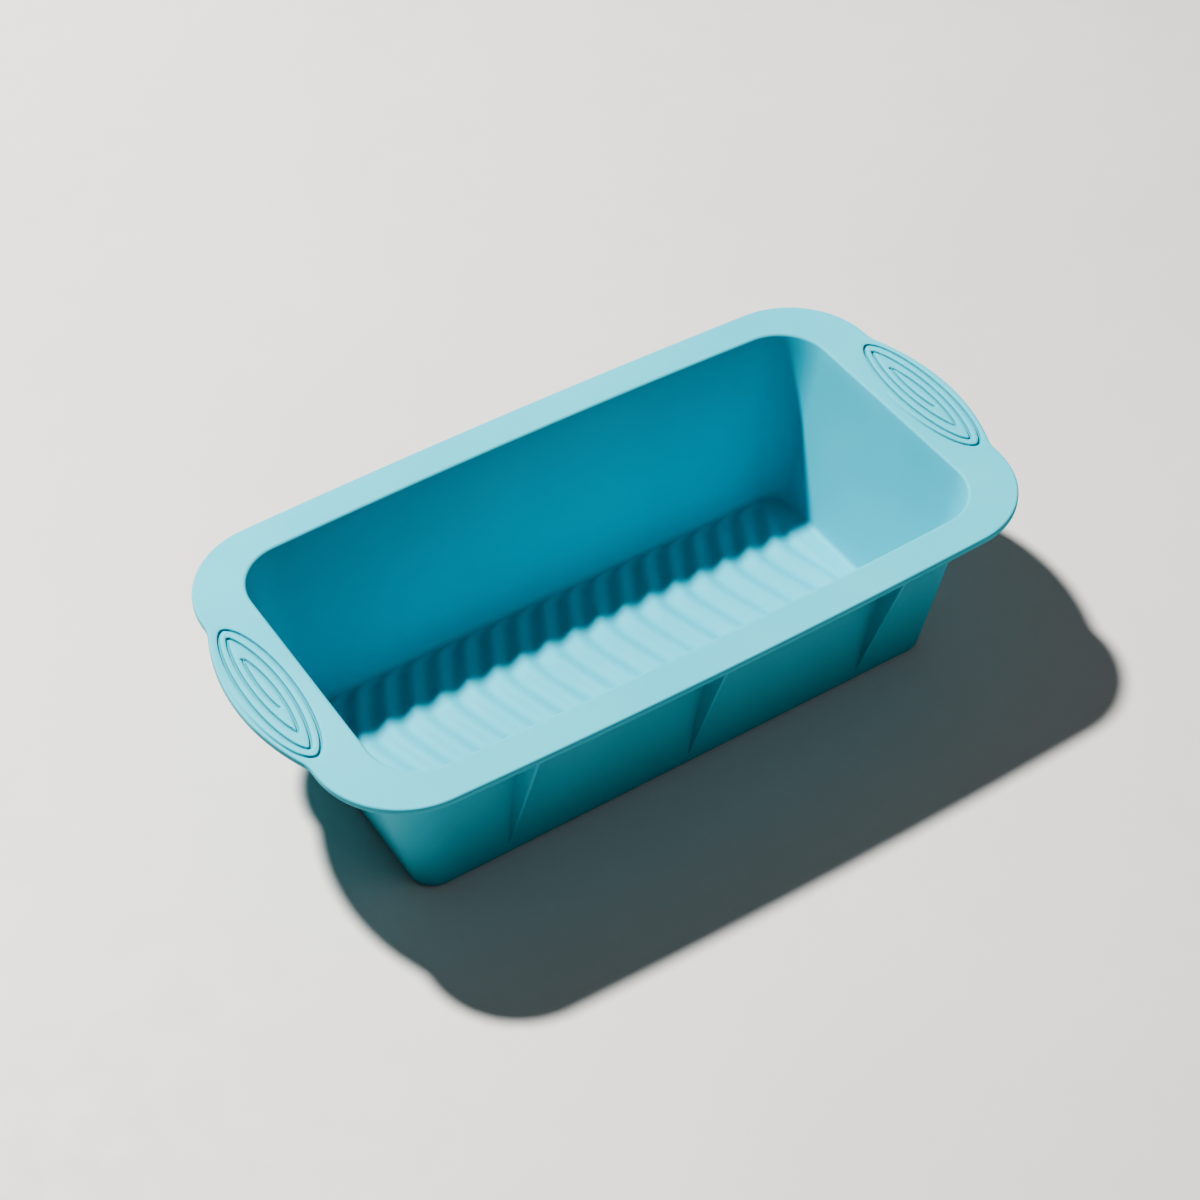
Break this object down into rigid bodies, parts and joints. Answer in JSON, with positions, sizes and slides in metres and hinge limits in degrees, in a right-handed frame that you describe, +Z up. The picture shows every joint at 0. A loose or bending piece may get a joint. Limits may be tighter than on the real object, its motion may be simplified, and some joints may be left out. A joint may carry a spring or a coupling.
{
  "type": "loaf pan",
  "caption": "Rectangular silicone loaf pan with tapered walls, a wide flat rim, lobed end handles with a wound grip groove, a ribbed floor and webs under the rim.",
  "frame": {"origin": "centre of the pan in plan, on the plane it stands on", "axes": "+X along the pan towards the right handle, +Y towards the back long side, +Z up"},
  "size_m": [0.2844, 0.1432, 0.072],
  "materials": {
    "silicone": "satin, pale blue food-grade silicone"
  },
  "bodies": {
    "root": {"base_band": "silicone", "ribbed_floor": "silicone", "wall_front": "silicone", "wall_back": "silicone", "wall_left": "silicone", "wall_right": "silicone", "wall_corner_front_left": "silicone", "wall_corner_front_right": "silicone", "wall_corner_back_left": "silicone", "wall_corner_back_right": "silicone", "rim_front": "silicone", "rim_back": "silicone", "rim_corner_front_left": "silicone", "rim_corner_front_right": "silicone", "rim_corner_back_left": "silicone", "rim_corner_back_right": "silicone", "handle_left": "silicone", "handle_right": "silicone", "gusset_front_1": "silicone", "gusset_front_2": "silicone", "gusset_front_3": "silicone", "gusset_back_1": "silicone", "gusset_back_2": "silicone", "gusset_back_3": "silicone"}
  },
  "joints": []
}
